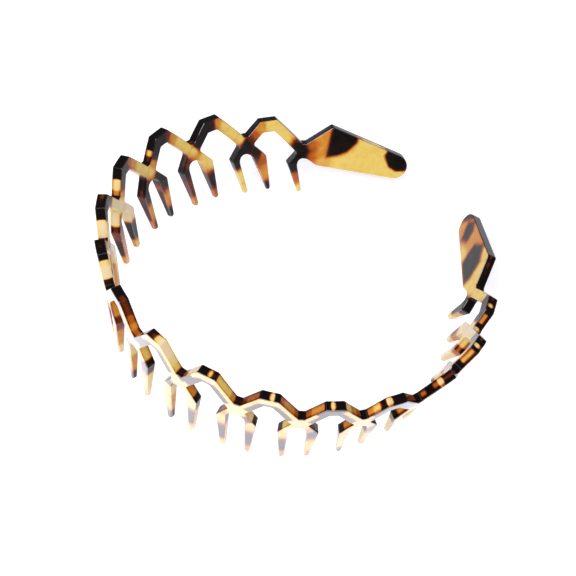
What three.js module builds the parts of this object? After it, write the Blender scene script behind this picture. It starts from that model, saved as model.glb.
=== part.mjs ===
// A zig-zag comb headband, standing on the tips of its teeth.
//
// The real one is a single bent moulding. Here it is divided into the zones that a person would name:
// flat-topped crests, comb forks below the valleys between them, and an end paddle on each arm.
// Every zone is drawn flat, as it would be cut from sheet, and then bent onto the arch.
//
// Flat pattern: s runs along the band from the middle of the crown, positive towards +X,
// w runs up the band from the top edge of the middle crest, and d runs outwards from the outer face.
// Finished part: millimetres, +Z up, the crown towards -Y and the open side towards +Y.
import * as THREE from 'three';

// ---- driving dimensions, mm and degrees ----
const PITCH = 20;               // crest to crest at the crown
const STRETCH = 0.08;           // how much further apart the crests and forks get towards the ends
const CREST_COUNT = 15;
const FORK_COUNT = 16;
const END_STEP = 8;             // the number of pitches over which every taper below runs
const THICKNESS = 3.3;          // sheet thickness
const RAIL_WIDTH = 3.8;         // width of the zig-zag rail, square to its slopes
const CREST_HEIGHT = 4.2;       // height of the rail at a crest
const VALLEY_HALF = 0.9;        // half the flat bottom of a valley
const CUT_GAP = 0.3;            // clearance between neighbouring zones

// Plan shape of the outer face: tangent arcs from the middle of the crown, then a straight arm end.
const PLAN_ARCS = [
  { radius: 66.5, length: 32 },
  { radius: 69.6, length: 86 },
  { radius: 82.5, length: 44 },
];
const LEAN_CROWN = 9.7;         // how far the band leans in towards its teeth, at the crown
const LEAN_END = 24.3;          // and at the arm ends
const LEAN_LENGTH = 160;        // the arc length over which the lean grows

// Sizes that change from the crown to the ends, as [at the crown, at END_STEP pitches].
const CREST_LINE = [0, -26.3];  // level of the crest tops
const CREST_HALF = [2.9, 3.4];  // half the flat top of a crest
const VALLEY_DEPTH = [9.8, 5.8];
const KNEE_DEPTH = [20.9, 12.5];
const TIP_DEPTH = [41.0, 22.3];
const KNEE_HALF = [6.7, 7.6];   // half the distance between a fork's knees
const TIP_HALF = [4.4, 5.5];    // half the distance between its two tooth tips

// How far each part of the zig-zag moves towards the arm end, at END_STEP pitches.
const CREST_SHIFT = -1.8;
const VALLEY_SHIFT = 1.1;
const KNEE_SHIFT = 2.1;
const TIP_SHIFT = 6.2;

// Comb forks
const WAIST_HALF = 2.7;         // half the width of a fork where its legs cross
const ARCH_DEPTH = 6.4;         // from the valley to the top of the arch between the teeth
const ARCH_RADIUS = 3.1;
const TIP_RADIUS = 1.05;
const TIP_THICKNESS = 1.9;      // a tooth thins to this at its tip, from the inner face
const ARCH_STEPS = 8;
const PADDLE_ARCH_STEPS = 6;    // how many of those steps the arch beside a paddle has
const TIP_STEPS = 4;

// End paddles, measured from the last fork's centre: outwards along the band, and the level
const PADDLE_CUT = 4.4;
const PADDLE_CORNER = { along: 10.3, level: -23.5 };
const PADDLE_FOOT = { along: 5.6, level: -37.3 };
const PADDLE_ARCH = { along: 1.0, level: -34.8 };  // the top of the arch beside the paddle
const PADDLE_TIP = { along: 32.4, level: -37.9, radius: 4.2 };
const PADDLE_TIP_STEPS = 14;

const EDGE_STEP = 3.5;          // long edges are divided to about this, so that they follow the arch

// ---- flat pattern ----
const taper = (range, step) => range[0] + (range[1] - range[0]) * (step / END_STEP) ** 2;
const station = (step) => PITCH * step * (1 + STRETCH * (step / END_STEP) ** 2);
const crestLevel = (step) => taper(CREST_LINE, step);
const valleyLevel = (step) => crestLevel(step) - taper(VALLEY_DEPTH, step);
const point = (s, w) => new THREE.Vector2(s, w);
const moved = (shift, step) => (shift * step) / END_STEP;

// Where two lines cross, each given by a point and a direction.
function crossing(a, along, b, across) {
  const gap = b.clone().sub(a);
  const share = gap.cross(across) / along.cross(across);
  return a.clone().addScaledVector(along, share);
}

// The corners of a crest's flat top and of a valley's flat bottom, on the side given.
function crestCorner(step, side) {
  const s = station(step) + side * taper(CREST_HALF, step) + moved(CREST_SHIFT, step);
  return point(s, crestLevel(step));
}

function valleyCorner(step, side) {
  const s = station(step) + side * VALLEY_HALF + moved(VALLEY_SHIFT, step);
  return point(s, valleyLevel(step));
}

// One sloping length of the rail, from the fork at forkStep up to the crest at crestStep.
function slope(forkStep, crestStep) {
  const side = Math.sign(crestStep - forkStep);
  const bottom = valleyCorner(forkStep, side);
  const top = crestCorner(crestStep, -side);
  const along = top.clone().sub(bottom).normalize();
  const down = point(side * along.y, -side * along.x);
  const middle = bottom.clone().lerp(top, 0.5);
  const under = (corner) => corner.clone().addScaledVector(down, RAIL_WIDTH);
  return { bottom, top, along, middle, under };
}

// A crest: a flat top between two half slopes, each cut square half way down.
function crestOutline(step) {
  const left = slope(step - 0.5, step);
  const right = slope(step + 0.5, step);
  const floor = point(station(step), crestLevel(step) - CREST_HEIGHT);
  const level = point(1, 0);
  const leftCut = left.middle.clone().addScaledVector(left.along, CUT_GAP);
  const rightCut = right.middle.clone().addScaledVector(right.along, CUT_GAP);
  return [
    left.top,
    leftCut,
    left.under(leftCut),
    crossing(left.under(left.top), left.along, floor, level),
    crossing(right.under(right.top), right.along, floor, level),
    right.under(rightCut),
    rightCut,
    right.top,
  ];
}

// The end of a tooth: a half circle about its tip centre, from the side at -from to the side at +from.
function toothEnd(centre, from) {
  const points = [];
  for (let i = 0; i <= TIP_STEPS; i += 1) {
    const angle = Math.PI * (i / TIP_STEPS);
    const across = -from * TIP_RADIUS * Math.cos(angle);
    points.push(point(centre.x + across, centre.y - TIP_RADIUS * Math.sin(angle)));
  }
  return points;
}

// One tooth and its leg, on one side of a fork: waist, knee, tip, and back up to the foot of the arch.
function toothOutline(step, side) {
  const rail = slope(step, step + side / 2);
  const centre = station(step);
  const waistLine = point(centre + side * WAIST_HALF + moved(VALLEY_SHIFT, step), 0);
  const waist = crossing(rail.under(rail.bottom), rail.along, waistLine, point(0, 1));
  const knee = point(
    centre + side * taper(KNEE_HALF, step) + moved(KNEE_SHIFT, step),
    crestLevel(step) - taper(KNEE_DEPTH, step),
  );
  const tip = point(
    centre + side * taper(TIP_HALF, step) + moved(TIP_SHIFT, step),
    crestLevel(step) - taper(TIP_DEPTH, step) + TIP_RADIUS,
  );
  return [rail.middle, rail.under(rail.middle), waist, knee, ...toothEnd(tip, -side)];
}

// The rounded arch between the two teeth, from its -s foot to its +s foot, under a point at its top.
function archOutline(step, top) {
  const shift = moved(KNEE_SHIFT, step) / 2;
  const points = [];
  for (let i = 0; i <= ARCH_STEPS; i += 1) {
    const angle = Math.PI * (1 - i / ARCH_STEPS);
    const rise = Math.sin(angle) - 1;
    const s = top.x + ARCH_RADIUS * Math.cos(angle) + shift * -rise;
    points.push(point(s, top.y + ARCH_RADIUS * rise));
  }
  return points;
}

// A fork with its two teeth, hanging from a valley of the rail.
function forkOutline(step) {
  const left = toothOutline(step, -1);
  const right = toothOutline(step, 1);
  const valley = [slope(step, step + 0.5).bottom, slope(step, step - 0.5).bottom];
  const archTop = point(station(step), valleyLevel(step) - ARCH_DEPTH);
  return [...valley, ...left, ...archOutline(step, archTop), ...right.reverse()];
}

// Mirrors an outline and keeps its direction of travel.
const mirrored = (outline) => outline.map((p) => point(-p.x, p.y)).reverse();

// The edges that the last fork and the paddle share, on the +s arm.
function paddleEdges() {
  const last = (FORK_COUNT - 1) / 2;
  const start = station(last);
  const corner = point(start + PADDLE_CORNER.along, PADDLE_CORNER.level);
  const foot = point(start + PADDLE_FOOT.along, PADDLE_FOOT.level);
  const valley = valleyCorner(last, 1);
  const archTop = point(start + PADDLE_ARCH.along, PADDLE_ARCH.level);
  const arch = archOutline(last, archTop).slice(0, PADDLE_ARCH_STEPS + 1);
  return { last, start, corner, foot, valley, arch, archEnd: arch[arch.length - 1] };
}

// The last fork has one tooth, and grows into the paddle on its other side.
function lastForkOutline() {
  const { last, start, corner, foot, valley, arch, archEnd } = paddleEdges();
  const cut = point(start + PADDLE_CUT, 0);
  const plumb = point(0, 1);
  const upper = crossing(valley, corner.clone().sub(valley), cut, plumb);
  const lower = crossing(archEnd, foot.clone().sub(archEnd), cut, plumb);
  const rail = slope(last, last - 0.5);
  return [valley, rail.bottom, ...toothOutline(last, -1), ...arch, lower, upper];
}

// The paddle tapers from its upper corner to a round end.
function paddleOutline() {
  const { start, corner, foot, valley, archEnd } = paddleEdges();
  const cut = point(start + PADDLE_CUT + CUT_GAP, 0);
  const plumb = point(0, 1);
  const upper = crossing(valley, corner.clone().sub(valley), cut, plumb);
  const lower = crossing(archEnd, foot.clone().sub(archEnd), cut, plumb);
  const centre = point(start + PADDLE_TIP.along, PADDLE_TIP.level);
  const tangentAngle = (from, side) => {
    const line = from.clone().sub(centre);
    return line.angle() + side * Math.acos(PADDLE_TIP.radius / line.length());
  };
  const first = tangentAngle(foot, 1) - 2 * Math.PI;
  const final = tangentAngle(corner, -1);
  const end = [];
  for (let i = 0; i <= PADDLE_TIP_STEPS; i += 1) {
    const angle = THREE.MathUtils.lerp(first, final, i / PADDLE_TIP_STEPS);
    const spoke = point(Math.cos(angle), Math.sin(angle));
    end.push(centre.clone().addScaledVector(spoke, PADDLE_TIP.radius));
  }
  return [upper, lower, foot, ...end, corner];
}

// ---- bending ----
// A point of the outer face's plan curve, with the heading of the curve there.
function planPoint(s) {
  let left = Math.abs(s);
  let heading = 0;
  let x = 0;
  let y = 0;
  for (const { radius, length } of PLAN_ARCS) {
    const turn = Math.min(left, length) / radius;
    x += radius * (Math.sin(heading + turn) - Math.sin(heading));
    y += radius * (Math.cos(heading) - Math.cos(heading + turn));
    heading += turn;
    left = Math.max(left - length, 0);
  }
  x += left * Math.cos(heading);
  y += left * Math.sin(heading);
  const side = s < 0 ? -1 : 1;
  return { x: side * x, y, out: new THREE.Vector3(side * Math.sin(heading), -Math.cos(heading), 0) };
}

// Bends one point of the flat pattern onto the leaning arch.
function bend(s, w, d) {
  const { x, y, out } = planPoint(s);
  const share = THREE.MathUtils.smoothstep(Math.abs(s), 0, LEAN_LENGTH);
  const lean = THREE.MathUtils.degToRad(THREE.MathUtils.lerp(LEAN_CROWN, LEAN_END, share));
  const up = new THREE.Vector3(0, 0, Math.cos(lean)).addScaledVector(out, Math.sin(lean));
  const face = out.clone().multiplyScalar(Math.cos(lean));
  face.z = -Math.sin(lean);
  return new THREE.Vector3(x, y, 0).addScaledVector(up, w).addScaledVector(face, d);
}

// Divides the long edges of an outline, apart from the flat tops, which stay single flat faces.
function divided(outline) {
  const points = [];
  outline.forEach((from, i) => {
    const to = outline[(i + 1) % outline.length];
    const isFlat = from.y === to.y;
    const count = isFlat ? 1 : Math.ceil(from.distanceTo(to) / EDGE_STEP);
    for (let k = 0; k < count; k += 1) {
      points.push(from.clone().lerp(to, k / count));
    }
  });
  return points;
}

// A zone's solid: its outline through the sheet, thinned towards thinEnd if it has teeth, then bent.
function bentSolid(outline, thinning) {
  const shape = new THREE.Shape(divided(outline));
  const geometry = new THREE.ExtrudeGeometry(shape, { depth: THICKNESS, bevelEnabled: false });
  const position = geometry.getAttribute('position');
  for (let i = 0; i < position.count; i += 1) {
    const w = position.getY(i);
    const thickness = thinning ? thinning(w) : THICKNESS;
    const d = (position.getZ(i) / THICKNESS - 1) * thickness;
    const bent = bend(position.getX(i), w, d);
    position.setXYZ(i, bent.x, bent.y, bent.z);
  }
  geometry.computeVertexNormals();
  return geometry;
}

// How thick a fork is at a level: full down to its knees, then less and less to the tips.
function toothThinning(step) {
  const knee = crestLevel(step) - taper(KNEE_DEPTH, step);
  const tip = crestLevel(step) - taper(TIP_DEPTH, step);
  return (w) => {
    const share = THREE.MathUtils.clamp((knee - w) / (knee - tip), 0, 1);
    return THREE.MathUtils.lerp(THICKNESS, TIP_THICKNESS, share);
  };
}

// ---- materials: one mottled tortoiseshell acetate, in its three main tones ----
const tone = (color) => new THREE.MeshStandardMaterial({ color, roughness: 0.12, metalness: 0 });
const darkBrown = tone(0x2a1410);
const amber = tone(0xc77a2c);
const honey = tone(0xdcbc62);

// ---- assembly ----
const headband = new THREE.Group();

function addZone(name, geometry, material) {
  const mesh = new THREE.Mesh(geometry, material);
  mesh.name = name;
  headband.add(mesh);
}

const numbered = (name, i) => `${name}_${String(i + 1).padStart(2, '0')}`;

for (let i = 0; i < CREST_COUNT; i += 1) {
  const step = i - (CREST_COUNT - 1) / 2;
  addZone(numbered('crest', i), bentSolid(crestOutline(step)), i % 2 ? darkBrown : amber);
}

for (let i = 0; i < FORK_COUNT; i += 1) {
  const step = i - (FORK_COUNT - 1) / 2;
  const lastFork = lastForkOutline();
  const outlines = { 0: mirrored(lastFork), [FORK_COUNT - 1]: lastFork };
  const outline = outlines[i] ?? forkOutline(step);
  addZone(numbered('comb_fork', i), bentSolid(outline, toothThinning(step)), i % 2 ? honey : darkBrown);
}

addZone('left_paddle', bentSolid(mirrored(paddleOutline())), honey);
addZone('right_paddle', bentSolid(paddleOutline()), honey);

// The origin is at the middle of the base, under the tooth tips.
const box = new THREE.Box3().setFromObject(headband);
const centre = box.getCenter(new THREE.Vector3());
headband.position.set(-centre.x, -centre.y, -box.min.z);
headband.updateMatrixWorld(true);

export default headband;
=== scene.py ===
"""A zig-zag comb headband in mottled tortoiseshell acetate, standing on its teeth on a pale floor.

The moulding is drawn as a flat pattern, given rounded edges, and bent onto the arch, as the CAD part is.
Flat pattern, in millimetres: s runs along the band from the middle of the crown, positive towards +X,
w runs up the band from the top edge of the middle crest, and d runs outwards from the outer face.
A step counts crests along the band: 0 is the middle crest, and forks sit at the half steps.
"""

import math

import bpy
import numpy as np
from mathutils import Matrix, Vector
from mathutils.geometry import delaunay_2d_cdt


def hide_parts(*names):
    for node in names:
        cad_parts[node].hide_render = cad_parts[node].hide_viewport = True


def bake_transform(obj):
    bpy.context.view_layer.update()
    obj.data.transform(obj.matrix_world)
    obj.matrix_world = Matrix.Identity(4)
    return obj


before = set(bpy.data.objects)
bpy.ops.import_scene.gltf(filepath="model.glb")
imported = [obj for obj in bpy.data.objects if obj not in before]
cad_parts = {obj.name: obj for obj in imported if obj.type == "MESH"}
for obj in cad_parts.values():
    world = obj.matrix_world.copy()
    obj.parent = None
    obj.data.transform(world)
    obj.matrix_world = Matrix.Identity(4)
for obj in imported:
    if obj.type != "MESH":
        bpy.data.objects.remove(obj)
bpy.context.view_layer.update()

MM = 0.001

# ---- the band, as in the CAD part ----
# A pair is a value at the middle of the crown and at the last step. A shift is the value at the last step.
PITCH = 20.0      # from crest to crest in the middle of the crown
STRETCH = 0.08    # and how much longer it gets towards the ends
END_STEP = 8
LAST_CREST = END_STEP - 1
LAST_FORK = 7.5
THICKNESS = 3.3
RAIL_WIDTH = 3.8
CREST_HEIGHT = 4.2
VALLEY_HALF = 0.9
PLAN_ARCS = ((66.5, 32.0), (69.6, 86.0), (82.5, 44.0))  # radius, length
LEAN_CROWN = math.radians(9.7)
LEAN_END = math.radians(24.3)
LEAN_LENGTH = 160.0
CREST_LINE = (0.0, -26.3)
CREST_HALF = (2.9, 3.4)
VALLEY_DEPTH = (9.8, 5.8)
KNEE_DEPTH = (20.9, 12.5)
TIP_DEPTH = (41.0, 22.3)
KNEE_HALF = (6.7, 7.6)
TIP_HALF = (4.4, 5.5)
CREST_SHIFT = -1.8
VALLEY_SHIFT = 1.1
KNEE_SHIFT = 2.1
TIP_SHIFT = 6.2
WAIST_HALF = 2.7
ARCH_DEPTH = 6.4
ARCH_RADIUS = 3.1
TIP_RADIUS = 1.05
TIP_THICKNESS = 1.9
PADDLE_CORNER = (10.3, -23.5)  # along the band from the last fork, level
PADDLE_FOOT = (5.6, -37.3)
PADDLE_ARCH = (1.0, -34.8)     # the top of the arch beside the paddle
PADDLE_TIP = (32.4, -37.9)
PADDLE_TIP_RADIUS = 4.2
PADDLE_START = 2.0             # past the last fork, where the sheet no longer thins downwards
ROW_SHIFT = np.array((0.0, -68.4943, 43.4554))  # where the flat pattern's origin is in the row frame

# ---- the moulding's finish ----
CREST_FILLET = 0.55
UNDER_CREST_FILLET = 0.8
VALLEY_FILLET = 0.45
WAIST_FILLET = 1.0
KNEE_FILLET = 0.7
PADDLE_CORNER_FILLET = 0.9
PADDLE_FOOT_FILLET = 1.0
FILLET_STEP = 14         # degrees turned by each of a fillet's divisions
FILLET_SHARE = 0.45      # the most of an edge that one fillet takes
TIP_POINTS = 9
ARCH_POINTS = 18
PADDLE_ARCH_POINTS = 14
PADDLE_TIP_POINTS = 26
SPACING = 0.55           # how finely outlines are divided
GRID = 0.75              # and the broad faces
GRID_ROW = 0.866         # from row to row of the grid, as a share of its spacing
GRID_CLEARANCE = 0.42    # and from the grid to the border
SEAM_DIVISIONS = 4       # across the rail where the halves meet
EDGE_RADIUS = 0.34       # rounding of the long edges
TOOTH_ROUND = 0.66       # rounding at the tooth tips, where they are almost round
EDGE_STEPS = 4
WALL_STEPS = 6
SUPPORT = 0.14           # a narrow band beside the rounding that keeps the broad faces' shading flat
SUPPORT_TAPER = 0.5      # and how much narrower it gets at the tooth tips
SHARPEST = 0.7           # keeps insets short at sharp corners
NO_RISE = 1e-9           # stands for a level edge's rise
MERGE_DISTANCE = 1e-7    # between grid points that would count as one
INSIDE_BLOCK = 500       # points compared at a time
BLEND_BLOCK = 2000


# ---- flat pattern ----
def taper(ends, step):
    return ends[0] + (ends[1] - ends[0]) * (step / END_STEP) ** 2


def moved(shift, step):
    return shift * step / END_STEP


def station(step):
    return PITCH * step * (1 + STRETCH * (step / END_STEP) ** 2)


def crest_level(step):
    return taper(CREST_LINE, step)


def valley_level(step):
    return crest_level(step) - taper(VALLEY_DEPTH, step)


def knee_level(step):
    return crest_level(step) - taper(KNEE_DEPTH, step)


def tip_level(step):
    return crest_level(step) - taper(TIP_DEPTH, step)


def crest_corner(step, side):
    s = station(step) + side * taper(CREST_HALF, step) + moved(CREST_SHIFT, step)
    return np.array((s, crest_level(step)))


def valley_corner(step, side):
    return np.array((station(step) + side * VALLEY_HALF + moved(VALLEY_SHIFT, step), valley_level(step)))


def tooth_tip(step, side, above):
    """A point on a tooth's middle line, at a distance above its tip."""
    s = station(step) + side * taper(TIP_HALF, step) + moved(TIP_SHIFT, step)
    return np.array((s, tip_level(step) + above))


def crossing(a, along, b, across):
    """Where two lines cross, each given by a point and a direction."""
    gap = b - a
    share = (gap[0] * across[1] - gap[1] * across[0]) / (along[0] * across[1] - along[1] * across[0])
    return a + along * share


def rail_under(fork_step, crest_step):
    """The underside of one sloping length of rail, as a point and a direction."""
    side = math.copysign(1, crest_step - fork_step)
    bottom = valley_corner(fork_step, side)
    top = crest_corner(crest_step, -side)
    along = (top - bottom) / np.linalg.norm(top - bottom)
    return bottom + np.array((side * along[1], -side * along[0])) * RAIL_WIDTH, along


def under_crest(fork_step, crest_step):
    """The inner corner between a crest's flat underside and one slope's, with its fillet radius."""
    under, along = rail_under(fork_step, crest_step)
    underside = np.array((station(crest_step), crest_level(crest_step) - CREST_HEIGHT))
    return crossing(under, along, underside, np.array((1.0, 0.0))), UNDER_CREST_FILLET


def arc(centre, radius, start, end, count):
    """Points along an arc, none of them to be rounded."""
    made = []
    for angle in np.linspace(start, end, count):
        place = (centre[0] + radius * math.cos(angle), centre[1] + radius * math.sin(angle))
        made.append((np.array(place), 0.0))
    return made


def tooth_points(step, side):
    """Waist, knee and round tip of one tooth, from the waist down, each with its fillet radius."""
    under, along = rail_under(step, step + side / 2)
    waist_line = np.array((station(step) + side * WAIST_HALF + moved(VALLEY_SHIFT, step), 0.0))
    waist = crossing(under, along, waist_line, np.array((0.0, 1.0)))
    knee_s = station(step) + side * taper(KNEE_HALF, step) + moved(KNEE_SHIFT, step)
    knee = np.array((knee_s, knee_level(step)))
    outer, inner = (0.0, -math.pi) if side > 0 else (-math.pi, 0.0)
    end = arc(tooth_tip(step, side, TIP_RADIUS), TIP_RADIUS, outer, inner, TIP_POINTS)
    return [(waist, WAIST_FILLET), (knee, KNEE_FILLET), *end]


def arch_points(step, top, start, end, count):
    """The rounded arch between two teeth, under the point at its top, from one angle to another."""
    shift = moved(KNEE_SHIFT, step) / 2
    made = []
    for angle in np.linspace(start, end, count):
        rise = math.sin(angle) - 1
        s = top[0] + ARCH_RADIUS * math.cos(angle) - shift * rise
        made.append((np.array((s, top[1] + ARCH_RADIUS * rise)), 0.0))
    return made


def paddle_points():
    """The paddle from its top corner round its tip and foot to the arch beside it."""
    start = np.array((station(LAST_FORK), 0.0))
    corner = start + PADDLE_CORNER
    foot = start + PADDLE_FOOT
    centre = start + PADDLE_TIP

    def tangent_angle(point, side):
        line = point - centre
        return math.atan2(line[1], line[0]) + side * math.acos(PADDLE_TIP_RADIUS / np.linalg.norm(line))

    first = tangent_angle(corner, -1)
    last = tangent_angle(foot, 1) % (2 * math.pi) - 2 * math.pi
    return [
        (corner, PADDLE_CORNER_FILLET),
        *arc(centre, PADDLE_TIP_RADIUS, first, last, PADDLE_TIP_POINTS),
        (foot, PADDLE_FOOT_FILLET),
        *arch_points(LAST_FORK, start + PADDLE_ARCH, math.pi / 4, math.pi, PADDLE_ARCH_POINTS),
    ]


def half_outline():
    """The +s half of the band, from the middle of the top edge, round the paddle, and back underneath."""
    points = [(np.array((0.0, 0.0)), 0.0)]
    for step in range(END_STEP):
        points.append((crest_corner(step, 1), CREST_FILLET))
        points.append((valley_corner(step + 0.5, -1), VALLEY_FILLET))
        points.append((valley_corner(step + 0.5, 1), VALLEY_FILLET))
        if step < LAST_CREST:
            points.append((crest_corner(step + 1, -1), CREST_FILLET))
    points += paddle_points()
    for step in range(LAST_CREST, -1, -1):
        points += tooth_points(step + 0.5, -1)[::-1]
        points.append(under_crest(step + 0.5, step))
        if step > 0:
            fork = step - 0.5
            points.append(under_crest(fork, step))
            points += tooth_points(fork, 1)
            top = (station(fork), valley_level(fork) - ARCH_DEPTH)
            points += arch_points(fork, top, 0, math.pi, ARCH_POINTS)
    points.append((np.array((0.0, -CREST_HEIGHT)), 0.0))
    return points


def fillet(before, corner, after, radius):
    """Points round one corner, from the edge before it to the edge after it."""
    before_length = np.linalg.norm(before - corner)
    after_length = np.linalg.norm(after - corner)
    back = (before - corner) / before_length
    ahead = (after - corner) / after_length
    half = math.acos(max(-1.0, min(1.0, float(back @ ahead)))) / 2
    reach = min(radius / math.tan(half), FILLET_SHARE * before_length, FILLET_SHARE * after_length)
    turn = math.pi - 2 * half
    count = max(2, math.ceil(math.degrees(turn) / FILLET_STEP))
    middle = corner + (back + ahead) / np.linalg.norm(back + ahead) * reach / math.cos(half)
    first = corner + back * reach - middle
    last = corner + ahead * reach - middle
    made = []
    for k in range(count + 1):
        t = turn * k / count
        made.append(middle + (first * math.sin(turn - t) + last * math.sin(t)) / math.sin(turn))
    return made


def rounded(points):
    """Rounds each corner that has a radius, then divides long edges."""
    made = []
    for i, (corner, radius) in enumerate(points):
        if radius == 0.0:
            made.append(corner)
        else:
            made += fillet(points[i - 1][0], corner, points[i + 1][0], radius)
    divided = []
    for a, b in zip(made, made[1:]):
        count = max(1, math.ceil(np.linalg.norm(b - a) / SPACING))
        divided += [a + (b - a) * k / count for k in range(count)]
    return np.array([*divided, made[-1]])


# ---- bending ----
def smooth(share):
    return share * share * (3 - 2 * share)


def plan(s):
    """Plan position and outward direction of the outer face, for an array of s."""
    left = np.abs(s)
    heading = np.zeros_like(s)
    x = np.zeros_like(s)
    y = np.zeros_like(s)
    for radius, length in PLAN_ARCS:
        turn = np.minimum(left, length) / radius
        x += radius * (np.sin(heading + turn) - np.sin(heading))
        y += radius * (np.cos(heading) - np.cos(heading + turn))
        heading += turn
        left = np.maximum(left - length, 0)
    x += left * np.cos(heading)
    y += left * np.sin(heading)
    side = np.where(s < 0, -1.0, 1.0)
    return side * x, y, side * np.sin(heading), -np.cos(heading)


def bent(flat):
    """Row-frame metres for an array of flat points (s, w, d)."""
    s, w, d = flat.T
    x, y, out_x, out_y = plan(s)
    lean = LEAN_CROWN + (LEAN_END - LEAN_CROWN) * smooth(np.clip(np.abs(s) / LEAN_LENGTH, 0, 1))
    out = w * np.sin(lean) + d * np.cos(lean)
    height = w * np.cos(lean) - d * np.sin(lean)
    return (np.stack((x + out_x * out, y + out_y * out, height), 1) + ROW_SHIFT) * MM


# ---- the half moulding ----
def blocks(count, size):
    """Splits a long array's indices into blocks, so that tables of distances stay small."""
    return np.array_split(np.arange(count), max(1, count // size))


def tooth_share(s, w):
    """0 down to the knees, then rising to 1 at the tooth tips. The paddle stays 0."""
    steps = np.arange(0, END_STEP) + 0.5
    stations = np.array([station(step) for step in steps])
    nearest = steps[np.argmin(np.abs(s[:, None] - stations[None, :]), axis=1)]
    knee = np.array([knee_level(step) for step in nearest])
    tip = np.array([tip_level(step) for step in nearest])
    share = np.clip((knee - w) / (knee - tip), 0, 1)
    return np.where(s > station(LAST_FORK) + PADDLE_START, 0.0, share)


def sheet_depth(share):
    return THICKNESS + (TIP_THICKNESS - THICKNESS) * share


def inward(outline):
    """Directions into the material, scaled so that an inset keeps its width round corners."""
    edges = np.diff(outline, axis=0)
    edges /= np.linalg.norm(edges, axis=1)[:, None]
    before = np.vstack((edges[:1], edges))
    after = np.vstack((edges, edges[-1:]))
    mean = before + after
    mean /= np.linalg.norm(mean, axis=1)[:, None]
    widen = 1 / np.maximum((mean * after).sum(1), SHARPEST)
    return np.stack((mean[:, 1], -mean[:, 0]), 1) * widen[:, None]


def inside(points, polygon):
    """Which points lie inside a closed polygon, and how far each is from its edges."""
    a = polygon
    b = np.roll(polygon, -1, axis=0)
    hit = np.zeros(len(points), bool)
    far = np.full(len(points), np.inf)
    for block in blocks(len(points), INSIDE_BLOCK):
        p = points[block][:, None, :]
        above = (a[None, :, 1] > p[..., 1]) != (b[None, :, 1] > p[..., 1])
        rise = np.where(b[:, 1] == a[:, 1], NO_RISE, b[:, 1] - a[:, 1])
        cut = a[None, :, 0] + (p[..., 1] - a[None, :, 1]) * ((b - a)[:, 0] / rise)[None, :]
        hit[block] = (above & (p[..., 0] < cut)).sum(1) % 2 == 1
        line = (b - a)[None]
        t = np.clip(((p - a[None]) * line).sum(2) / (line**2).sum(2), 0, 1)
        far[block] = np.sqrt(((p - a[None] - line * t[..., None]) ** 2).sum(2)).min(1)
    return hit, far


def edge_profile():
    """The section of the sheet's edge, as (inset, drop, through) of each ring of points.

    Inset and drop are shares of the edge radius, and an inset of None is the support band's.
    Through is 0 on the outer side, 1 on the inner side and in between on the wall.
    """
    angles = [math.pi / 2 * k / EDGE_STEPS for k in range(EDGE_STEPS + 1)]
    rounding = [(1 - math.sin(angle), 1 - math.cos(angle)) for angle in angles]
    outer = [(None, 0.0, 0.0), *((*place, 0.0) for place in rounding)]
    wall = [(0.0, 1.0, k / WALL_STEPS) for k in range(1, WALL_STEPS)]
    inner = [*((*place, 1.0) for place in reversed(rounding)), (None, 0.0, 1.0)]
    return outer + wall + inner


def edge_ring(outline, normals, share, inset, drop, through):
    """One ring of points round the outline, as flat points (s, w, d)."""
    depth = sheet_depth(share)
    radius = EDGE_RADIUS + (TOOTH_ROUND - EDGE_RADIUS) * share
    if inset is None:
        reach = radius + SUPPORT * (1 - SUPPORT_TAPER * share)
    else:
        reach = radius * inset
    if 0 < through < 1:
        sunk = radius + (depth - 2 * radius) * through
    else:
        sunk = radius * drop * (1 - 2 * through) + depth * through
    place = outline + normals * reach[:, None]
    place[[0, -1], 0] = 0.0
    return np.column_stack((place, -sunk))


def broad_face(rim):
    """The innermost ring's points, a grid of points inside it, and triangles that face outwards."""
    seam = np.linspace(rim[-1, 1], rim[0, 1], SEAM_DIVISIONS + 1)[1:-1]
    border = np.vstack((rim, np.column_stack((np.zeros(len(seam)), seam))))
    low = border.min(0)
    high = border.max(0)
    grid = []
    for row, w in enumerate(np.arange(low[1], high[1], GRID * GRID_ROW)):
        shift = GRID / 2 if row % 2 else 0.0
        grid += [(s + shift, w) for s in np.arange(low[0], high[0], GRID)]
    grid = np.array(grid)
    hit, far = inside(grid, border)
    places = np.vstack((border, grid[hit & (far > GRID_CLEARANCE * GRID)]))

    loop = list(range(len(border)))
    edges = [(i, (i + 1) % len(border)) for i in loop]
    only_inside = 1
    made = delaunay_2d_cdt([Vector(p) for p in places], edges, [loop], only_inside, MERGE_DISTANCE)
    own_index = [source[0] if source else None for source in made[3]]
    if len(made[0]) != len(places) or None in own_index:
        raise RuntimeError("the broad face's triangles don't use its own points")

    triangles = []
    for triangle in made[2]:
        corners = [own_index[i] for i in triangle]
        a, b, c = (places[i] for i in corners)
        if (b - a)[0] * (c - a)[1] - (b - a)[1] * (c - a)[0] < 0:
            corners.reverse()
        triangles.append(corners)
    return places, triangles


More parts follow.
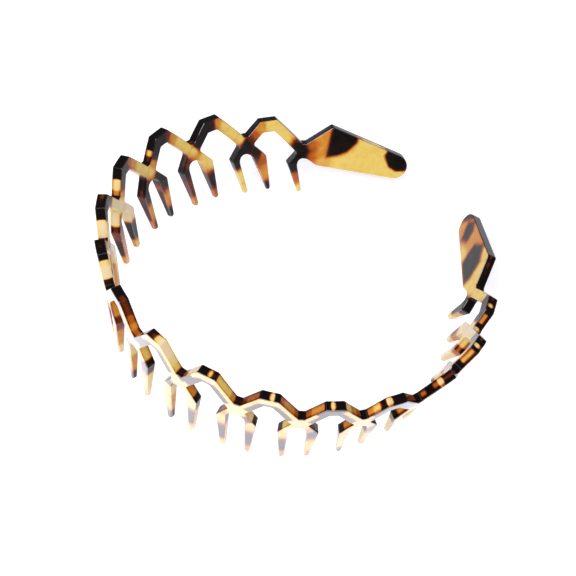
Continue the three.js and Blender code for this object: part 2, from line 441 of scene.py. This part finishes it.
def half_moulding():
    """The +s half, open at s = 0: its flat points (s, w, d), its faces, and three values for each point.

    Facing is 1 on the outer face, -1 on the inner face and 0 on the wall. Up is how squarely an edge faces
    up the band. Sunk is how deep in the sheet an edge's point lies, from 0 outside to 1 inside.
    """
    outline = rounded(half_outline())
    normals = inward(outline)
    share = tooth_share(outline[:, 0], outline[:, 1])
    profile = edge_profile()
    rings = [edge_ring(outline, normals, share, *section) for section in profile]
    count = len(outline)
    faces = []
    for r in range(len(rings) - 1):
        for i in range(count - 1):
            a = r * count + i
            faces.append((a, a + 1, a + 1 + count, a + count))

    places, triangles = broad_face(rings[0][:, :2])
    extra = places[count:]
    extra_depth = sheet_depth(tooth_share(extra[:, 0], extra[:, 1]))
    outer = np.column_stack((extra, np.zeros(len(extra))))
    inner = np.column_stack((extra, -extra_depth))
    points = np.vstack((*rings, outer, inner))
    first_outer = len(rings) * count
    first_inner = first_outer + len(extra)
    last_ring = first_outer - count
    for corners in triangles:
        faces.append(tuple(i if i < count else first_outer + i - count for i in corners))
        corners = reversed(corners)
        faces.append(tuple(last_ring + i if i < count else first_inner + i - count for i in corners))

    facing = np.zeros(len(points))
    up = np.zeros(len(points))
    sunk = np.zeros(len(points))
    upward = -normals[:, 1] / np.linalg.norm(normals, axis=1)
    for r, (_, drop, through) in enumerate(profile):
        ring = slice(r * count, (r + 1) * count)
        facing[ring] = 1 - drop if through < 0.5 else drop - 1
        up[ring] = upward * drop
        sunk[ring] = -rings[r][:, 2] / sheet_depth(share)
    facing[first_outer:first_inner] = 1
    facing[first_inner:] = -1
    return points, faces, facing, up, sunk


POINTS, FACES, FACING, UP, SUNK = half_moulding()


# ---- tortoiseshell pattern ----
# One tone from pale to black-brown: K black, D dark brown, R red-brown, O orange, A amber, G gold, H honey,
# Y pale, C cream.
TONES = {"K": 1.0, "D": 0.86, "R": 0.72, "O": 0.58, "A": 0.45, "G": 0.37, "H": 0.30, "Y": 0.15, "C": 0.0}

# Crests 1 to 15 from the left arm to the right one, each in order of s:
# tones spaced evenly up one slope, along the flat top, and down the other slope.
CREST_INNER = (
    "OHH HHA AOR", "HHH ADK KKK", "HHA RKK KDA", "HHA ODD DDA", "YYD DDD DCC",
    "CHA KDK YYC", "YDK KKR RRR", "DRR DRY YAA", "CYD KDA YAR", "DOO KYK OOO",
    "OAO KYK AOA", "AHD DKK DRD", "OKO KCD KKD", "AHA DKK DYC", "CDK DKK HHH",
)
CREST_TOP = (
    "KKK KKK KKK", "AOD DKK KKK", "AAD DKK KKHR", "AAD KKK KKYYA", "AAR RDK KKCCC",
    "CCK KDK KYCCD", "CCK KKR RROA", "CDK DRYC CCYH", "OCC KKHD HHHA", "ROO KKCK OAAO",
    "OAA KCKK YAO", "AHD CDKK RO", "OKO CRRR RRD", "KGGG KCKR KKK", "KAAAK KYKR KKK",
)
CREST_OUTER = (
    "HHA OO RR", "HHR DD KK", "YYR KK DA", "YHA DK DA", "CYD KD AY",
    "CHD KD AY", "YDK KR YY", "DDY YY YY", "DDY YC YY", "YYH YY YY",
    "YYD DD YY", "YDD DD DD", "YYD DK KD", "YCY YC CC", "YCY YC HH",
)

# Crests whose outer faces get painted shade along their lower edge, by step, and that painted shade's
# tones.
SHADED_UNDERSIDES = (-1, 0, 1, 2, 3, 4, 5, 6)
UNDERSIDE_SHADE = "YDD DD DDY"

# Forks 1 to 16: where the legs cross, then each tooth in order of s as leg, knee, middle and tip.
FORK_INNER = (
    "K KKKH KKOH", "K DOAD KKHH", "H HHDO RDRA", "H KDAK DDAR",
    "C CCKH RRAH", "D CCAA DRDA", "D CARC ARAC", "A CYAC RRYC",
    "D AKRC AKYC", "D AKYC AKYC", "D KKYC DKYC", "D DKYC DKYC",
    "D ADYC ADYC", "D ARYC ARYD", "C YRCC CCRC", "H DKDY HHHH",
)
FORK_EDGE = (
    "K KKKH KKKH", "K DOAD KKYH", "R HADO RDRA", "K KADK DRDA",
    "K CCKA CRDA", "D CCAA CRDA", "K CARC ARAC", "O CCAD HDYC",
    "D DCAD AKYC", "D OKYC YKYC", "K HKYC KKYC", "K AKYC KDYC",
    "K ADYC CCYC", "K HOYC ARYD", "C YOCC CCOC", "D KKYC HHHH",
)
FORK_OUTER = (
    "K KKKH KKKH", "K DOAD KRYH", "H HADO RDRA", "Y KDAK DDAR",
    "Y CCKA RRDA", "D CCAA DRDA", "Y DHAA DHAA", "Y DYHD YDHA",
    "Y KYHD YYDH", "Y AHDH DHDA", "Y YHDA ADHA", "Y YHYD YDHA",
    "H HHKK HHAA", "H HHHK HHHH", "H DAAO CCYR", "H KDAH HHHH",
)

# The paddles' own tones: distance from the last fork, level, tone.
LEFT_PADDLE = (
    (3.2, -30.5, "O"), (3.4, -34.0, "O"), (7.0, -27.5, "A"), (7.6, -32.0, "A"), (7.5, -36.0, "G"),
    (13.0, -36.5, "H"), (20.0, -29.5, "H"), (19.5, -35.0, "H"), (26.0, -33.0, "H"), (26.0, -38.0, "H"),
    (34.0, -40.5, "H"),
)
LEFT_PADDLE_EDGE = (
    (3.0, -29.0, "K"), (7.0, -26.0, "K"), (10.3, -23.5, "K"), (14.0, -25.1, "K"), (17.5, -26.7, "K"),
    (19.5, -27.6, "A"), (22.0, -28.7, "Y"), (25.5, -30.3, "C"), (28.0, -31.3, "H"), (30.3, -32.4, "K"),
    (34.0, -34.2, "K"), (36.3, -36.5, "D"), (36.0, -40.3, "H"), (31.0, -41.6, "Y"), (24.0, -40.3, "Y"),
    (19.0, -39.5, "O"), (14.0, -38.6, "H"), (6.2, -37.3, "A"),
)
RIGHT_PADDLE = (
    (3.5, -30.0, "H"), (4.5, -34.5, "H"), (8.0, -27.5, "H"), (12.0, -26.0, "H"), (16.0, -28.5, "A"),
    (21.0, -30.5, "A"), (22.0, -35.5, "A"), (20.5, -38.5, "H"), (25.0, -33.0, "A"), (29.0, -39.5, "A"),
    (32.0, -38.0, "A"),
)
RIGHT_PADDLE_EDGE = (
    (3.0, -29.0, "K"), (6.5, -26.4, "D"), (8.0, -25.2, "R"), (9.0, -24.5, "D"), (10.3, -23.5, "R"),
    (12.5, -24.4, "D"), (17.0, -26.5, "K"), (22.0, -28.7, "K"), (26.0, -30.5, "R"), (30.0, -32.3, "K"),
    (34.5, -34.5, "K"), (36.4, -37.0, "D"), (34.5, -41.0, "A"), (26.0, -40.7, "D"), (17.0, -39.2, "D"),
    (10.0, -38.0, "D"), (6.2, -37.3, "A"),
)

# Dark patches on the paddles: corners (distance from the last fork, level), soft edge width, tone.
LEFT_PATCHES = (
    (((-3.0, -28.5), (0.0, -28.8), (1.0, -31.0), (1.2, -34.5), (0.0, -38.0), (-4.0, -38.0)), 6.0, "K"),
    (((10.5, -21.0), (19.6, -25.0), (18.6, -29.2), (15.6, -32.2), (12.5, -33.5), (9.0, -34.0)), 2.0, "K"),
    (((28.6, -33.8), (29.6, -31.8), (33.0, -30.5), (38.0, -34.0),
      (37.6, -37.2), (35.8, -39.2), (32.8, -39.4), (30.2, -37.8)), 1.1, "K"),
)
RIGHT_PATCHES = (
    (((19.5, -31.5), (16.2, -27.0), (10.6, -28.6), (7.2, -33.6),
      (6.8, -37.0), (15.9, -38.3), (18.4, -34.7)), 4.2, "K"),
    (((32.0, -36.3), (30.2, -33.0), (26.9, -33.6), (24.7, -36.8), (27.3, -39.5)), 4.2, "K"),
    (((34.8, -40.2), (33.4, -36.0), (31.6, -32.0), (39.0, -33.0), (39.0, -42.5)), 2.6, "D"),
)

# Where the zig-zag's tones sit below the rail's top edge, and how sharply neighbouring tones meet.
INNER_BELOW = 1.8
OUTER_BELOW = 1.3
UNDERSIDE_SHADE_BELOW = 4.3
TOP_BELOW = 0.0
INNER_SHARPNESS = 3.6
OUTER_SHARPNESS = 4.0
EDGE_SHARPNESS = 6.0
OUTER_REPEAT = 3           # how often an outer tone is repeated along its slope
NEAREST = 0.15             # softens a tone right at its own point
ZIGZAG_END = 2.5           # past the last fork, only the paddles' own tones count

# Where a fork's tones sit.
CROSSING_BELOW = 1.4       # times as far below the top edge as the crests' tones
LEG_START = (2.4, -5.0)    # from the valley's middle and from its level
KNEE_INSET = (1.2, 0.4)    # inwards from the knee's corner and up from its level
TOOTH_MIDDLE = 0.52        # share of the way from the knee to the tip
TIP_ABOVE = 0.6

# Painted shade in dark rims along the upward edges. Each starts part of the way from the middle of the
# sheet,
# 0, to its face, 1, fades in over the next part, and adds its shade. The outer one is wider and darker on
# the arms.
RIM_FADE = 0.4
INNER_RIM_START = 0.45
INNER_RIM_SHADE = 0.55
OUTER_RIM_START = 0.5
OUTER_RIM_WIDER = 0.45
OUTER_RIM_SHADE = 0.5
OUTER_RIM_DARKER = 0.2
ARM_START = 40.0           # where, along the band, the outer rim begins to change
ARM_LENGTH = 80.0          # and how far it goes on changing


def crest_tones(step, groups, below, repeat=1):
    """Where a crest's tones sit in the flat pattern, as (s, w, tone), at a distance below the top edge."""
    corners = (
        valley_corner(step - 0.5, 1),
        crest_corner(step, -1),
        crest_corner(step, 1),
        valley_corner(step + 0.5, -1),
    )
    made = []
    for start, end, letters in zip(corners, corners[1:], groups.split()):
        for i, letter in enumerate(np.repeat(list(letters), repeat)):
            s, w = start + (end - start) * (i + 0.5) / (repeat * len(letters))
            made.append((s, w - below, TONES[letter]))
    return made


def fork_tones(step, groups, below):
    """Where a fork's tones sit: one where the legs cross, and four down each tooth."""
    centre, left, right = groups.split()
    middle = (valley_corner(step, -1) + valley_corner(step, 1)) / 2
    made = [(middle[0], middle[1] - below * CROSSING_BELOW, TONES[centre])]
    for side, letters in ((-1, left), (1, right)):
        knee_s = station(step) + side * (taper(KNEE_HALF, step) - KNEE_INSET[0]) + moved(KNEE_SHIFT, step)
        knee = np.array((knee_s, knee_level(step) + KNEE_INSET[1]))
        tip = tooth_tip(step, side, TIP_ABOVE)
        waist = np.array((middle[0] + side * LEG_START[0], valley_level(step) + LEG_START[1]))
        places = ((waist + knee) / 2, knee, knee + (tip - knee) * TOOTH_MIDDLE, tip)
        made += [(*place, TONES[letter]) for letter, place in zip(letters, places)]
    return made


def pattern(crests, forks, paddles, below, repeat=1):
    """All the tone points of one side of the sheet, or of its edges."""
    made = []
    for i, groups in enumerate(crests):
        made += crest_tones(i - LAST_CREST, groups, below, repeat)
    for i, groups in enumerate(forks):
        made += fork_tones(i - LAST_FORK, groups, below)
    start = station(LAST_FORK)
    made = [point for point in made if abs(point[0]) < start + ZIGZAG_END]
    for side, points in zip((-1, 1), paddles):
        made += [(side * (start + s), w, TONES[letter]) for s, w, letter in points]
    return np.array(made)


def blended(points, tones, sharpness):
    """Each point takes the tone of the tone points near it."""
    made = np.zeros(len(points))
    for block in blocks(len(points), BLEND_BLOCK):
        apart = ((points[block][:, None, :] - tones[None, :, :2]) ** 2).sum(2) + NEAREST
        weight = apart ** (-sharpness / 2)
        made[block] = (weight * tones[None, :, 2]).sum(1) / weight.sum(1)
    return made


def patched(tone, points, side, patches):
    """Lays the paddle's dark patches over the tones."""
    place = np.stack((side * points[:, 0] - station(LAST_FORK), points[:, 1]), 1)
    for corners, soft, letter in patches:
        ring = np.array(corners)
        middle = ring.mean(0)
        depth = np.full(len(place), np.inf)
        for a, b in zip(ring, np.roll(ring, -1, axis=0)):
            along = (b - a) / np.linalg.norm(b - a)
            inwards = np.array((-along[1], along[0]))
            inwards *= np.sign((middle - a) @ inwards)
            depth = np.minimum(depth, (place - a) @ inwards)
        tone = tone + (TONES[letter] - tone) * smooth(np.clip(depth / soft + 0.5, 0, 1))
    return tone


def painted_rim_shade(flat, sunk):
    """How much painted shade darkens an upward edge near the outer and the inner face."""
    place = 2 * sunk - 1
    arm = np.clip((np.abs(flat[:, 0]) - ARM_START) / ARM_LENGTH, 0, 1)
    inner = np.clip((place - INNER_RIM_START) / RIM_FADE, 0, 1) * INNER_RIM_SHADE
    outer = np.clip((-place - OUTER_RIM_START + OUTER_RIM_WIDER * arm) / RIM_FADE, 0, 1)
    return inner + outer * (OUTER_RIM_SHADE + OUTER_RIM_DARKER * arm)


def tones_of(flat):
    """The tone at every point: the broad faces and the edges of the sheet each have their own."""
    side = -1 if flat[:, 0].mean() < 0 else 1
    patches = LEFT_PATCHES if side < 0 else RIGHT_PATCHES
    places = flat[:, :2]
    broad = (LEFT_PADDLE, RIGHT_PADDLE)
    inner_tones = pattern(CREST_INNER, FORK_INNER, broad, INNER_BELOW)
    inner = patched(blended(places, inner_tones, INNER_SHARPNESS), flat, side, patches)
    outer_tones = pattern(CREST_OUTER, FORK_OUTER, broad, OUTER_BELOW, OUTER_REPEAT)
    # painted shade: the outer faces of these crests are darker along their lower edge
    for step in SHADED_UNDERSIDES:
        under_shade_tones = crest_tones(step, UNDERSIDE_SHADE, UNDERSIDE_SHADE_BELOW, OUTER_REPEAT)
        outer_tones = np.vstack((outer_tones, under_shade_tones))
    outer = patched(blended(places, outer_tones, OUTER_SHARPNESS), flat, side, patches)
    edge_tones = pattern(CREST_TOP, FORK_EDGE, (LEFT_PADDLE_EDGE, RIGHT_PADDLE_EDGE), TOP_BELOW)
    top = blended(places, edge_tones, EDGE_SHARPNESS)

    under = np.clip(-UP, 0, 1)
    edge = top * (1 - under) + (0.5 * inner + 0.5 * outer) * under
    # the upward edges take their painted shade rims
    edge = edge + np.clip(UP, 0, 1) * painted_rim_shade(flat, SUNK)
    share = np.clip(np.abs(FACING), 0, 1)
    return edge * (1 - share) + np.where(FACING > 0, outer, inner) * share


# ---- materials ----
def node(tree, kind, at, **values):
    """A node at a place, with its own settings and its inputs' values, an underscore for each space."""
    made = tree.nodes.new(kind)
    made.location = at
    for name, value in values.items():
        if hasattr(made, name):
            setattr(made, name, value)
        else:
            made.inputs[name.replace("_", " ")].default_value = value
    return made


def ramp(tree, at, stops):
    made = node(tree, "ShaderNodeValToRGB", at)
    elements = made.color_ramp.elements
    while len(elements) < len(stops):
        elements.new(0.5)
    for element, (place, colour) in zip(elements, stops):
        element.position = place
        element.color = (*colour, 1.0)
    return made


def noise_part(tree, place, at, amount, **values):
    """Noise by place, from minus half the amount to plus half of it."""
    noise = node(tree, "ShaderNodeTexNoise", at, **values)
    tree.links.new(place, noise.inputs["Vector"])
    part = node(tree, "ShaderNodeMath", (at[0] + 200, at[1]), operation="MULTIPLY_ADD")
    tree.links.new(noise.outputs["Fac"], part.inputs[0])
    part.inputs[1].default_value = amount
    part.inputs[2].default_value = -amount / 2
    return part.outputs[0]


def linear(r, g, b):
    """Linear colour from 0 to 255 screen values."""
    return tuple((v / 255 / 12.92) if v <= 10 else ((v / 255 + 0.055) / 1.055) ** 2.4 for v in (r, g, b))


# The acetate's colour at each tone, and how much noise shifts the tone.
ACETATE_RAMP = (
    (0.00, linear(212, 191, 158)),
    (0.16, linear(210, 186, 128)),
    (0.30, linear(208, 181, 94)),
    (0.44, linear(188, 128, 46)),
    (0.57, linear(166, 82, 22)),
    (0.70, linear(96, 34, 12)),
    (0.83, linear(38, 16, 12)),
    (0.93, linear(14, 9, 8)),
)
RAGGED_SHIFT = 0.16
CLOUD_SHIFT = 0.10


def acetate_material():
    """Polished acetate. Its tone, its coat and its place in the flat pattern come with each point."""
    material = bpy.data.materials.new("tortoiseshell_acetate")
    material.use_nodes = True
    tree = material.node_tree
    tree.nodes.clear()
    link = tree.links.new
    flat = node(tree, "ShaderNodeAttribute", (-1400, 0), attribute_name="flat_place").outputs["Vector"]
    tone = node(tree, "ShaderNodeAttribute", (-1400, 300), attribute_name="tone")

    ragged = noise_part(
        tree, flat, (-1150, 60), RAGGED_SHIFT, Scale=0.55, Detail=4.0, Roughness=0.62, Distortion=0.6
    )
    cloud = noise_part(
        tree, flat, (-1150, -240), CLOUD_SHIFT, Scale=0.17, Detail=2.0, Roughness=0.5, Distortion=1.2
    )
    mixed = node(tree, "ShaderNodeMath", (-760, 0), operation="ADD")
    link(ragged, mixed.inputs[0])
    link(cloud, mixed.inputs[1])
    total = node(tree, "ShaderNodeMath", (-580, 120), operation="ADD", use_clamp=True)
    link(tone.outputs["Fac"], total.inputs[0])
    link(mixed.outputs[0], total.inputs[1])
    colour = ramp(tree, (-400, 200), ACETATE_RAMP)
    link(total.outputs[0], colour.inputs["Fac"])

    wear = node(tree, "ShaderNodeTexNoise", (-760, -420), Scale=1.6, Detail=3.0, Roughness=0.7)
    link(flat, wear.inputs["Vector"])
    gloss = node(
        tree, "ShaderNodeMapRange", (-400, -300), From_Min=0.3, From_Max=0.75, To_Min=0.09, To_Max=0.2
    )
    link(wear.outputs["Fac"], gloss.inputs["Value"])

    ripple = node(tree, "ShaderNodeTexNoise", (-760, -640), Scale=0.32, Detail=2.0)
    link(flat, ripple.inputs["Vector"])
    bump = node(tree, "ShaderNodeBump", (-400, -560), Strength=0.16, Distance=0.0004)
    link(ripple.outputs["Fac"], bump.inputs["Height"])

    polish = node(tree, "ShaderNodeAttribute", (-400, -760), attribute_name="polish")
    shader = node(
        tree,
        "ShaderNodeBsdfPrincipled",
        (0, 0),
        IOR=1.49,
        Specular_IOR_Level=0.15,
        Coat_Roughness=0.03,
        Coat_IOR=2.0,
        Subsurface_Weight=0.25,
        Subsurface_Radius=(1.0, 0.55, 0.25),
        Subsurface_Scale=0.0012,
    )
    link(colour.outputs["Color"], shader.inputs["Base Color"])
    link(gloss.outputs["Result"], shader.inputs["Roughness"])
    link(bump.outputs["Normal"], shader.inputs["Normal"])
    link(polish.outputs["Fac"], shader.inputs["Coat Weight"])
    out = node(tree, "ShaderNodeOutputMaterial", (320, 0))
    link(shader.outputs["BSDF"], out.inputs["Surface"])
    return material


# The floor glows with painted light round the middle, more so in front of the crown, and fades out beyond.
FLOOR_TINTS = ((0.3, (0.86, 0.87, 0.90)), (0.7, (0.89, 0.90, 0.93)))
FLOOR_ROUGHNESS = 0.85
GLOW_COLOUR = (0.87, 0.87, 1.0, 1.0)
GLOW = 0.5
FRONT_GLOW = 0.85
FAR_SHARE = 0.1       # of the glow that is left far away
GLOW_NEAR = 0.12      # distances from the middle, metres
GLOW_FAR = 0.40
FRONT_START = -0.045  # places along Y, metres
FRONT_END = -0.075


def floor_material():
    material = bpy.data.materials.new("floor_pale")
    material.use_nodes = True
    tree = material.node_tree
    link = tree.links.new
    shader = tree.nodes["Principled BSDF"]
    place = node(tree, "ShaderNodeTexCoord", (-900, 0)).outputs["Object"]
    grain = node(tree, "ShaderNodeTexNoise", (-700, 0), Scale=6.0, Detail=3.0)
    link(place, grain.inputs["Vector"])
    tint = ramp(tree, (-450, 0), FLOOR_TINTS)
    link(grain.outputs["Fac"], tint.inputs["Fac"])
    link(tint.outputs["Color"], shader.inputs["Base Color"])
    shader.inputs["Roughness"].default_value = FLOOR_ROUGHNESS

    # the floor's glow is painted light: strongest round the middle and in front of the crown
    away = node(tree, "ShaderNodeVectorMath", (-900, -300), operation="LENGTH")
    link(place, away.inputs[0])
    glow = node(
        tree,
        "ShaderNodeMapRange",
        (-650, -300),
        interpolation_type="SMOOTHSTEP",
        From_Min=GLOW_NEAR,
        From_Max=GLOW_FAR,
        To_Min=1.0,
        To_Max=FAR_SHARE,
    )
    link(away.outputs["Value"], glow.inputs["Value"])
    parts = node(tree, "ShaderNodeSeparateXYZ", (-900, -520))
    link(place, parts.inputs[0])
    front = node(
        tree,
        "ShaderNodeMapRange",
        (-650, -520),
        interpolation_type="SMOOTHSTEP",
        From_Min=FRONT_END,
        From_Max=FRONT_START,
        To_Min=FRONT_GLOW,
        To_Max=GLOW,
    )
    link(parts.outputs["Y"], front.inputs["Value"])
    strength = node(tree, "ShaderNodeMath", (-400, -400), operation="MULTIPLY")
    link(glow.outputs["Result"], strength.inputs[0])
    link(front.outputs["Result"], strength.inputs[1])
    link(strength.outputs[0], shader.inputs["Emission Strength"])
    shader.inputs["Emission Color"].default_value = GLOW_COLOUR
    return material


# ---- the two halves of the moulding ----
# The outer face and its rounded edge are the most polished, and the inner rounded edge less so.
# The wall of the edge and the inner face have no coat.
OUTER_FACING = 0.3       # how squarely a point faces outwards to count as outer
ROUNDING = (0.02, 0.98)  # and to count as rounded, between the wall and a broad face
OUTER_COAT = 1.0
ROUNDING_COAT = 0.6


def coat_weights():
    rounding = (FACING > -ROUNDING[1]) & (np.abs(FACING) > ROUNDING[0])
    return np.where(FACING > OUTER_FACING, OUTER_COAT, np.where(rounding, ROUNDING_COAT, 0.0))


def add_half(name, side, material):
    flat = POINTS * np.array((side, 1.0, 1.0))
    mesh = bpy.data.meshes.new(name)
    faces = FACES if side > 0 else [tuple(reversed(face)) for face in FACES]
    mesh.from_pydata(bent(flat).tolist(), [], faces)
    mesh.shade_smooth()
    for key, values in (("tone", tones_of(flat)), ("polish", coat_weights())):
        attribute = mesh.attributes.new(key, "FLOAT", "POINT")
        attribute.data.foreach_set("value", values.astype(np.float32))
    place = mesh.attributes.new("flat_place", "FLOAT_VECTOR", "POINT")
    place.data.foreach_set("vector", flat.astype(np.float32).ravel())
    mesh.materials.append(material)
    mesh.update()
    half = bpy.data.objects.new(name, mesh)
    bpy.context.scene.collection.objects.link(half)
    return half


ACETATE = acetate_material()
right_half = add_half("right_half", 1, ACETATE)
left_half = add_half("left_half", -1, ACETATE)

numbers = range(1, 17)
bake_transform(right_half)
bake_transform(left_half)
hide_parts(*(f"crest_{i:02d}" for i in numbers if 8 <= i <= 15))
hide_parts(*(f"comb_fork_{i:02d}" for i in numbers if i >= 9), "right_paddle")
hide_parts(*(f"crest_{i:02d}" for i in numbers if i <= 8))
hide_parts(*(f"comb_fork_{i:02d}" for i in numbers if i <= 8), "left_paddle")

# ---- floor, light and camera ----
FLOOR_HALF = 3.0
SKY_COLOUR = (0.92, 0.94, 1.0, 1.0)
SKY_STRENGTH = 0.22
KEY_PLACE = Vector((0.10, -0.42, 0.68))
KEY_SIZE = (1.2, 0.6)
KEY_POWER = 10.5
CAMERA_PLACE = Vector((0.286329, -0.418709, 0.638968))
CAMERA_TARGET = Vector((0.0019935, -0.0088917, 0.021671))
CAMERA_ROLL = math.radians(12.302)
CAMERA_SENSOR = 36.0
CAMERA_LENS = 158.85

floor_corners = [(x * FLOOR_HALF, y * FLOOR_HALF, 0) for x, y in ((-1, -1), (1, -1), (1, 1), (-1, 1))]
floor_mesh = bpy.data.meshes.new("floor")
floor_mesh.from_pydata(floor_corners, [], [(0, 1, 2, 3)])
floor_mesh.materials.append(floor_material())
floor = bpy.data.objects.new("floor", floor_mesh)
bpy.context.scene.collection.objects.link(floor)

world = bpy.data.worlds.new("studio")
bpy.context.scene.world = world
world.use_nodes = True
background = world.node_tree.nodes["Background"]
background.inputs["Color"].default_value = SKY_COLOUR
background.inputs["Strength"].default_value = SKY_STRENGTH

key_light = bpy.data.lights.new("key", "AREA")
key_light.shape = "RECTANGLE"
key_light.size, key_light.size_y = KEY_SIZE
key_light.energy = KEY_POWER
key = bpy.data.objects.new("key", key_light)
key.location = KEY_PLACE
key.rotation_euler = (-KEY_PLACE).to_track_quat("-Z", "Y").to_euler()
bpy.context.scene.collection.objects.link(key)

camera_data = bpy.data.cameras.new("camera")
camera_data.sensor_width = CAMERA_SENSOR
camera_data.lens = CAMERA_LENS
camera = bpy.data.objects.new("camera", camera_data)
ahead = (CAMERA_TARGET - CAMERA_PLACE).normalized()
unrolled = ahead.cross(Vector((0, 0, 1))).normalized()
rightwards = unrolled * math.cos(CAMERA_ROLL) + unrolled.cross(ahead) * math.sin(CAMERA_ROLL)
turn = Matrix((rightwards, rightwards.cross(ahead), -ahead)).transposed()
camera.matrix_world = Matrix.Translation(CAMERA_PLACE) @ turn.to_4x4()
bpy.context.scene.collection.objects.link(camera)
bpy.context.scene.camera = camera
bpy.context.scene.view_settings.view_transform = "Standard"

bpy.context.view_layer.update()
